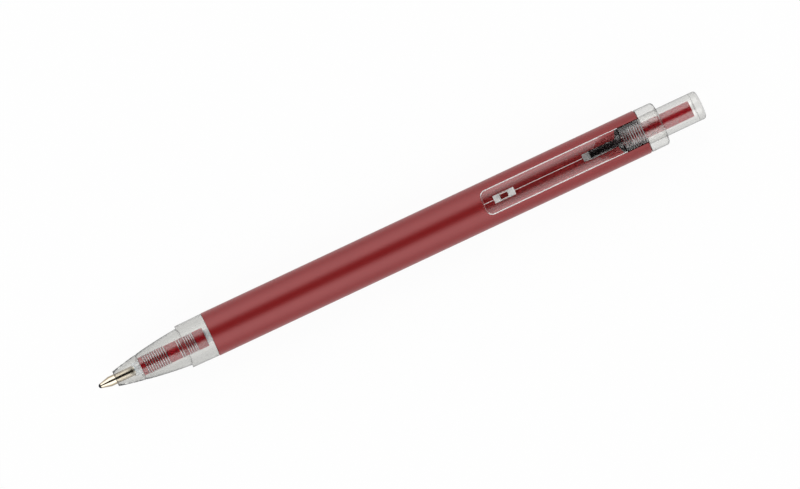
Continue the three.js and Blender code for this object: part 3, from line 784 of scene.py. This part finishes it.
def barrel():
    """The lacquered tube, with the notch for the clip's rib and the collar's tongue."""
    profile = [
        (BARREL_FRONT, BARREL_BORE), (BARREL_FRONT, BARREL_RADIUS),
        (BARREL_REAR, BARREL_RADIUS), (BARREL_REAR, BARREL_BORE),
    ]
    corners = [(BARREL_FRONT, BARREL_RADIUS, 0.1), (BARREL_REAR, BARREL_RADIUS, 0.4)]
    tube = spun(profile, corners, segments=5)
    slot, mouth = 0.87, 2.9
    flared = RISER_FRONT - 0.14
    notch = prism(both_sides([(116.2, slot), (flared - 0.85, slot), (flared, mouth),
                              (BARREL_REAR + 5, mouth)]), 0, 10)
    tube = combined(tube, [notch], "DIFFERENCE")
    piece("barrel_tube", tube, LACQUER, "root", "barrel")


def clip_blank():
    """The arm as a flat plate, with two round corners in front and rounded rims."""
    corner, steps = 1.45, 12
    side = []
    for i in range(steps + 1):
        turn = math.pi / 2 * i / steps
        side.append((CLIP_FRONT + corner * (1 - math.cos(turn)),
                     CLIP_HALF_WIDTH - corner * (1 - math.sin(turn))))
    plate = prism(both_sides([*side, (CLIP_REAR, CLIP_HALF_WIDTH)]), CLIP_UNDERSIDE, CLIP_TOP)
    for level, size, segments in ((CLIP_TOP, CLIP_ROUNDING, 5), (CLIP_UNDERSIDE, 0.14, 2)):
        rim = [e for e in plate.edges if all(abs(v.co.z - level) < 1e-4 for v in e.verts)
               and min(v.co.x for v in e.verts) < CLIP_REAR - 0.01]
        bmesh.ops.bevel(plate, geom=rim, offset=size, offset_type="OFFSET", segments=segments,
                        profile=0.5, affect="EDGES", material=-1, clamp_overlap=True)
    return plate


def crowned_and_hollowed(plate):
    """Bends the arm's top and underside, and sinks the light line along its middle."""
    half = CLIP_HALF_WIDTH
    strips, facet, line_fade = 24, 0.14, 0.05
    for i in range(1, strips):
        sliced(plate, (0, -half + i * 2 * half / strips, 0), (0, 1, 0))
    for y in (-LINE_HALF_WIDTH, LINE_HALF_WIDTH):
        sliced(plate, (0, y, 0), (0, 1, 0))
    for x in (NUB_SPAN[0] - line_fade, NUB_SPAN[0], NUB_SPAN[1], NUB_SPAN[1] + line_fade,
              LINE_END, LINE_END + line_fade):
        sliced(plate, (x, 0, 0), (1, 0, 0))
    for i in range(13):
        sliced(plate, (ROOT_FRONT + facet * i, 0, 0), (1, 0, 0))
    radius = (half * half + CLIP_CROWN * CLIP_CROWN) / (2 * CLIP_CROWN)
    for vert in plate.verts:
        x, y, z = vert.co
        if z > CLIP_TOP - 0.3:
            vert.co.z -= radius - math.sqrt(radius * radius - y * y)
            before_nub = x < NUB_SPAN[0] - line_fade / 2
            behind_nub = NUB_SPAN[1] + line_fade / 2 < x < LINE_END + line_fade / 2
            if abs(y) < 0.01 and (before_nub or behind_nub):
                vert.co.z -= LINE_DEPTH
        else:
            arched = CLIP_HOLLOW * (1 - (y / half) ** 2)
            vert.co.z += min(arched, CLIP_HOLLOW - ROOT_DIP * (x - ROOT_FRONT))


def clip_plate():
    """The clip's arm: crowned on top, hollow underneath, and sloping down to its root."""
    plate = clip_blank()
    crowned_and_hollowed(plate)
    sliced(plate, (ROOT_FRONT, 0, CLIP_TOP), (ROOT_DROP, 0, 1), remove=True)
    middle_height = CLIP_TOP - CLIP_ROUNDING * math.hypot(ROOT_DROP, 1)
    for side in (-1, 1):
        middle = Vector((ROOT_FRONT, side * (CLIP_HALF_WIDTH - CLIP_ROUNDING), middle_height))
        for angle in (22.5, 45, 67.5):
            lean = math.radians(angle)
            facing = Vector((math.cos(lean) * ROOT_DROP, side * math.sin(lean), math.cos(lean)))
            facing.normalize()
            sliced(plate, middle + CLIP_ROUNDING * facing, facing, remove=True)
    return tidied(plate)


def clip_rib():
    """The rib under the root, which stands in the barrel's slot and widens into the riser."""
    thin, wide, clear_of_collar = 0.8, CLIP_HALF_WIDTH - 0.05, 4.6
    foot, top = 2.3, CLIP_UNDERSIDE + CLIP_HOLLOW + 0.14
    rib = prism(both_sides([(113.8, thin), (ROOT_FRONT, thin), (RISER_FRONT - 0.95, thin),
                            (RISER_FRONT, wide), (CLIP_REAR, wide)]), foot, top)
    sliced(rib, (ROOT_FRONT, 0, 0), (1, 0, 0))
    for vert in rib.verts:
        if vert.co.z > 6 and vert.co.x > ROOT_FRONT:
            vert.co.z = top - ROOT_DIP * (vert.co.x - ROOT_FRONT)
    slope = block(113.0, RIB_SLOPE_REAR, 4, 3.0, 6.45)
    for vert in slope.verts:
        if vert.co.x > 114:
            low = vert.co.z < 5
            vert.co.x = RIB_SLOPE_REAR if low else RIB_SLOPE_FRONT
            vert.co.z = clear_of_collar if low else 6.45
    inside = spun([(100, 0), (100, clear_of_collar), (130, clear_of_collar), (130, 0)],
                  sides=INNER_SIDES)
    under = block(CLIP_REAR - 0.4, CLIP_REAR + 1, 4, 3.0, 4.95)
    for vert in under.verts:
        if vert.co.z > 4.9:
            vert.co.z += 1 if vert.co.x > CLIP_REAR else -0.42
    return combined(rib, [slope, inside, under], "DIFFERENCE")


def clip_nub():
    """The foot under the free end, narrowing downwards on all four sides."""
    levels = [(6.55, 2.5, 0.825), (6.3, 2.45, 0.82), (5.62, 1.55, 0.62), (5.1, 0.9, 0.45)]
    bm = bmesh.new()
    loops = []
    for height, half_length, half_width in levels:
        place = Matrix.Translation((NUB_MIDDLE, 0, height))
        size = Matrix.Diagonal((half_length, half_width, 1, 1))
        made = bmesh.ops.create_grid(bm, x_segments=1, y_segments=1, size=1, matrix=place @ size)
        loops.append(made["verts"])
    for loop in loops[1:-1]:
        faces = {f for v in loop for f in v.link_faces}
        bmesh.ops.delete(bm, geom=list(faces), context="FACES_ONLY")
    for upper, lower in zip(loops, loops[1:]):
        rims = [e for loop in (upper, lower) for e in bm.edges if all(v in loop for v in e.verts)]
        bmesh.ops.bridge_loops(bm, edges=rims)
    return tidied(bm)


def clip_finish(place, facing, reach):
    """The finish of one face of the clip, from its middle, the way it faces and its reach sideways.

    The nub's lower half and its ends are frosted. The rib's slope and upright sides are matt, the
    cut under the riser is painted black as the shade in the gap to the collar, and the light line
    and the arm's rounded sides get a pale matt finish as painted highlights.
    """
    x, y, z = place
    leaning = -0.95 < facing.z < -0.2
    upright = abs(facing.z) < 0.1 and z < 6.5
    lengthways = abs(facing.x) > 0.3
    on_nub = abs(x - NUB_MIDDLE) < 2.6 and abs(y) < 0.9 and z < 6.35
    over_nub = NUB_SPAN[0] < x < NUB_SPAN[1]
    on_slope = RIB_SLOPE_FRONT - 0.05 < x < RIB_SLOPE_REAR - 0.05 and abs(y) < 0.8 and z < 6.35
    on_flare = RISER_FRONT - 0.98 < x < RISER_FRONT + 0.02
    on_rib = abs(facing.y) > 0.9 and RIB_SLOPE_REAR - 0.05 < x < RISER_FRONT
    if leaning and on_nub and (lengthways or z < 5.62):
        return FROSTED
    if leaning and on_slope and lengthways:
        return MATT_SLOPE
    # Painted shade: the face at the riser's rear is near black, for the shade in the narrow gap
    # between clip and collar.
    if leaning and x > CLIP_REAR - 0.45 and facing.x > 0.4:
        return SEAM_SHADE
    if upright and (on_flare or on_rib):
        return MATT_SLOPE
    # Painted highlight: the light line along the middle gets the pale matt finish.
    if facing.z > 0.7 and reach < 0.07:
        return EDGE_HIGHLIGHT if x < LINE_END and not over_nub else CLEAR_CLIP
    # Painted highlight: the arm's rounded sides get the pale matt finish.
    sideways = abs(facing.y) > 0.25 and abs(facing.y) > abs(facing.x)
    if sideways and 0.05 < facing.z < 0.922 and z > 4.9:
        return EDGE_HIGHLIGHT
    return CLEAR_CLIP


def clip():
    """Arm, rib and nub in one moulding."""
    whole = combined(clip_plate(), [clip_rib(), clip_nub()], "UNION")
    made = piece("pocket_clip", whole, CLEAR_CLIP, "clip", "clip_arm", 30)
    finishes = [CLEAR_CLIP, FROSTED, EDGE_HIGHLIGHT, MATT_SLOPE, SEAM_SHADE]
    for material in finishes[1:]:
        made.data.materials.append(material)
    place_back = PLACE.inverted()
    for face in made.data.polygons:
        reach = max(abs(made.data.vertices[i].co.y) for i in face.vertices) * 1000
        chosen = clip_finish(place_back @ face.center, face.normal, reach)
        face.material_index = finishes.index(chosen)


def collar():
    """The ring behind the barrel, and its ribbed tongue in the barrel's notch.

    Nine grooves across the tongue leave its ribs, and one fine line runs lengthways over both.
    """
    bore, mouth = 3.65, 3.37
    lip = COLLAR_REAR - 0.7
    profile = [
        (TONGUE_FRONT, SPIGOT_RADIUS), (COLLAR_FRONT, SPIGOT_RADIUS),
        (COLLAR_FRONT, COLLAR_RADIUS), (COLLAR_REAR, COLLAR_RADIUS), (COLLAR_REAR, mouth),
        (lip, mouth), (lip, bore), (TONGUE_FRONT, bore),
    ]
    corners = [(COLLAR_REAR, COLLAR_RADIUS, 0.8), (COLLAR_REAR, mouth, 0.1),
               (COLLAR_FRONT, COLLAR_RADIUS, 0.08)]
    ring = spun(profile, corners, segments=7)
    tongue_rear = COLLAR_FRONT + 0.05
    tongue = spun([(TONGUE_FRONT, 3.99), (TONGUE_FRONT, BARREL_RADIUS),
                   (tongue_rear, BARREL_RADIUS), (tongue_rear, 3.99)],
                  [(TONGUE_FRONT, BARREL_RADIUS, 0.06)])
    tongue = combined(tongue, [block(120, 135, 2.7, 1.0, 7.0)], "INTERSECT")
    grooves = []
    for i in range(9):
        middle = TONGUE_FRONT + 0.36 + i * 0.56
        grooves.append(spun([(middle - 0.12, 5.05), (middle - 0.09, 4.94), (middle, 4.9),
                             (middle + 0.09, 4.94), (middle + 0.12, 5.05)], sides=72))
    near, far = 0.3, 0.38
    for floor, front, rear in ((4.95, TONGUE_FRONT + 0.3, COLLAR_FRONT), (4.9, COLLAR_FRONT, 135)):
        line = [(front, near), (rear, near), (rear, far), (front, far)]
        grooves.append(prism(line, floor, 5.3))
    ring = combined(ring, [tongue], "UNION")
    ring = combined(ring, grooves, "DIFFERENCE")
    made = piece("collar", ring, CLEAR_COLLAR, "root", "end_collar", 30,
                 CLEAR_BORE)
    rib_highlight_slot, rib_shade_slot = 2, 3
    made.data.materials.append(RIB_HIGHLIGHT)
    made.data.materials.append(RIB_SHADE)
    place_back = PLACE.inverted()
    for face in made.data.polygons:
        x, y, z = place_back @ face.center
        # Painted light: the groove floors are pale as painted highlight, and darker near the
        # tongue's front as painted shade.
        if x < COLLAR_FRONT and abs(y) < 2 and 4.86 < math.hypot(y, z) < 4.98:
            face.material_index = rib_shade_slot if x < TONGUE_FRONT + 1.75 else rib_highlight_slot


def button():
    """The hollow button, with its keys in the guide and the teeth that turn the rotor."""
    crown_root = CROWN_FRONT + 0.9
    radius, flange, neck, bore, throat = 3.25, 3.53, 2.4, 2.3, 1.9
    bore_front, key_sweep = 129.73, 49
    profile = [
        (CAVITY_END, 0), (CAVITY_END, bore), (bore_front, bore), (FLANGE_REAR, throat),
        (crown_root, throat), (crown_root, neck), (FLANGE_FRONT, neck), (FLANGE_FRONT, flange),
        (FLANGE_REAR, flange), (FLANGE_REAR, radius), (PEN_LENGTH, radius), (PEN_LENGTH, 0),
    ]
    corners = [(PEN_LENGTH, radius, 0.75), (CAVITY_END, bore, 0.12), (bore_front, bore, 0.3),
               (FLANGE_REAR, throat, 0.3), (FLANGE_FRONT, flange, 0.08)]
    shell = spun(profile, corners, segments=7)
    keys = [sector(2.15, 3.3, crown_root + 0.03, crown_root + 7, 60 + 120 * i - key_sweep / 2,
                   key_sweep)
            for i in range(3)]
    teeth = [saw_tooth(1.96, 2.34, crown_root + 0.3, crown_root, CROWN_FRONT,
                       60 * i + TOOTH_START, TOOTH_SWEEP)
             for i in range(6)]
    shell = combined(shell, [*keys, *teeth], "UNION")
    piece("button_shell", shell, CLEAR_BUTTON, "button", "push_button", 30,
          CLEAR_BORE)


def rotor():
    """The red rod, with its three slanted fins and the teeth that meet the button's."""
    spigot, drum, stem = 0.85, 2.3, 1.83
    profile = [
        (ROTOR_FRONT - 2, 0), (ROTOR_FRONT - 2, spigot), (ROTOR_FRONT, spigot),
        (ROTOR_FRONT, drum), (ROTOR_REAR, drum), (ROTOR_REAR, stem), (STEM_END, stem),
        (STEM_END, 0),
    ]
    corners = [(STEM_END, stem, 0.1), (ROTOR_FRONT, drum, 0.1)]
    body = spun(profile, corners, INNER_SIDES)
    fins = []
    fin_sweep = 14
    for i in range(3):
        fin = sector(2.04, 3.3, CAM_STATION - 2.8, CAM_STATION - 0.1, 120 * i - fin_sweep / 2,
                     fin_sweep, 4)
        for vert in fin.verts:
            if vert.co.x > CAM_STATION - 1:
                turned = (angle_on_axis(vert.co) - 120 * i + 180) % 360 - 180
                vert.co.x += turned / 12
        fins.append(fin)
    teeth = [saw_tooth(1.7, 2.24, ROTOR_REAR - 0.3, ROTOR_REAR, ROTOR_REAR + 0.9,
                       60 * i + TOOTH_START, TOOTH_SWEEP)
             for i in range(6)]
    body = combined(body, [*fins, *teeth], "UNION")
    piece("red_rotor", body, RED, "rotor", "cam_rotor", 30)


def carried_over():
    """Frame nodes whose shape stays, with better finishes."""
    for node, material in (("cam_guide", DARK), ("ink_column", INK), ("ink_follower", GREASE)):
        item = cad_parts[node]
        for place in item.material_slots:
            place.material = material


# Studio

def studio_floor():
    """Pale floor that looks white, and still takes the pen's shadow."""
    below = 0.00003
    bm = bmesh.new()
    bmesh.ops.create_grid(bm, x_segments=1, y_segments=1, size=6,
                          matrix=Matrix.Translation((0, 0, -below)))
    mesh = bpy.data.meshes.new("floor")
    bm.to_mesh(mesh)
    bm.free()
    floor = bpy.data.objects.new("floor", mesh)
    scene.collection.objects.link(floor)
    material, tree, shader = principled("pale_floor")
    shader.inputs["Base Color"].default_value = (0.9, 0.9, 0.9, 1)
    shader.inputs["Roughness"].default_value = 1
    shader.inputs["Specular IOR Level"].default_value = 0
    white = tree.nodes.new("ShaderNodeEmission")
    white.inputs["Strength"].default_value = 1
    path = tree.nodes.new("ShaderNodeLightPath")
    share = 0
    for kind, part in (("Is Camera Ray", 0.95), ("Is Glossy Ray", 0.6),
                       ("Is Transmission Ray", 0.9)):
        share = calculated(tree, "MULTIPLY_ADD", path.outputs[kind], part, share, clamp=True)
    both = mixed(tree, share, shader.outputs[0], white.outputs[0])
    tree.links.new(both, tree.nodes["Material Output"].inputs["Surface"])
    floor.data.materials.append(material)


def studio_light():
    """Two long soft boxes along the pen, with a dark gap between them right above it.

    Each stop gives a level at so many degrees from straight up. The boxes are dim past the pen's
    rear, and plain pale walls close both ends. Both start where the direction's share along the
    pen says so. The camera itself sees white.
    """
    brightest, walls, tilt = 2.4, 1.2, -0.03
    dim_start, dim_full, dim_level = 0.32, 0.40, 0.12
    wall_start, wall_full = 0.64, 0.76
    stops = [(0, 0.01), (15, 0.02), (20.5, 0.5), (26, 1.5), (33, 2.05), (42, 2.2), (60, 2.0),
             (76, 1.6), (90, 1.1)]
    world = bpy.data.worlds.new("studio")
    scene.world = world
    world.use_nodes = True
    tree = world.node_tree
    tree.nodes.clear()

    def background(strength):
        node = tree.nodes.new("ShaderNodeBackground")
        node.inputs["Strength"].default_value = strength
        return node

    direction = tree.nodes.new("ShaderNodeTexCoord").outputs["Generated"]
    parts = tree.nodes.new("ShaderNodeSeparateXYZ")
    tree.links.new(direction, parts.inputs[0])
    x, y, z = parts.outputs
    tilted = calculated(tree, "MULTIPLY_ADD", z, tilt, y)
    side = calculated(tree, "ABSOLUTE", tilted)
    from_top = calculated(tree, "DIVIDE", calculated(tree, "ARCTAN2", side, z), math.pi / 2)
    light = ramp(tree, from_top,
                 [(degrees / 90, [level / brightest] * 3) for degrees, level in stops])
    dimmed = ranged(tree, x, dim_start, dim_full, 1, dim_level, smooth=True)
    boxes = background(1)
    tree.links.new(light, boxes.inputs["Color"])
    tree.links.new(calculated(tree, "MULTIPLY", dimmed, brightest), boxes.inputs["Strength"])
    beyond = ranged(tree, calculated(tree, "ABSOLUTE", x), wall_start, wall_full, smooth=True)
    around = mixed(tree, beyond, boxes.outputs[0], background(walls).outputs[0])
    white = background(1)
    white.inputs["Color"].default_value = (1, 1, 1, 1)
    path = tree.nodes.new("ShaderNodeLightPath")
    seen = mixed(tree, path.outputs["Is Camera Ray"], around, white.outputs[0])
    out = tree.nodes.new("ShaderNodeOutputWorld")
    tree.links.new(seen, out.inputs["Surface"])


def camera():
    """Almost straight above, leaning a little towards the tip and towards one side."""
    distance, view_width, aside, sensor = 1.78, 0.1724, 0.00016, 36
    turn, lean, side = (math.radians(angle) for angle in (25.246, 2.7, 1.9))
    data = bpy.data.cameras.new("camera")
    data.sensor_width = sensor
    data.lens = sensor * distance / view_width
    data.clip_start = 0.05
    data.clip_end = 20
    view = bpy.data.objects.new("camera", data)
    scene.collection.objects.link(view)
    back = Vector((-math.tan(lean), -math.tan(side), 1)).normalized()
    up = Vector((math.sin(turn), math.cos(turn), 0))
    up = (up - back * up.dot(back)).normalized()
    right = up.cross(back)
    target = Vector((0, aside, AXIS_HEIGHT / 1000))
    rotation = Matrix((right, up, back)).transposed().to_4x4()
    view.matrix_world = Matrix.Translation(target + back * distance) @ rotation
    scene.camera = view


nose_cone()
point()
writing_ball()
refill()
sleeve()
spring()
barrel()
clip()
collar()
button()
rotor()
carried_over()
studio_floor()
studio_light()
camera()

scene.view_settings.view_transform = "Standard"
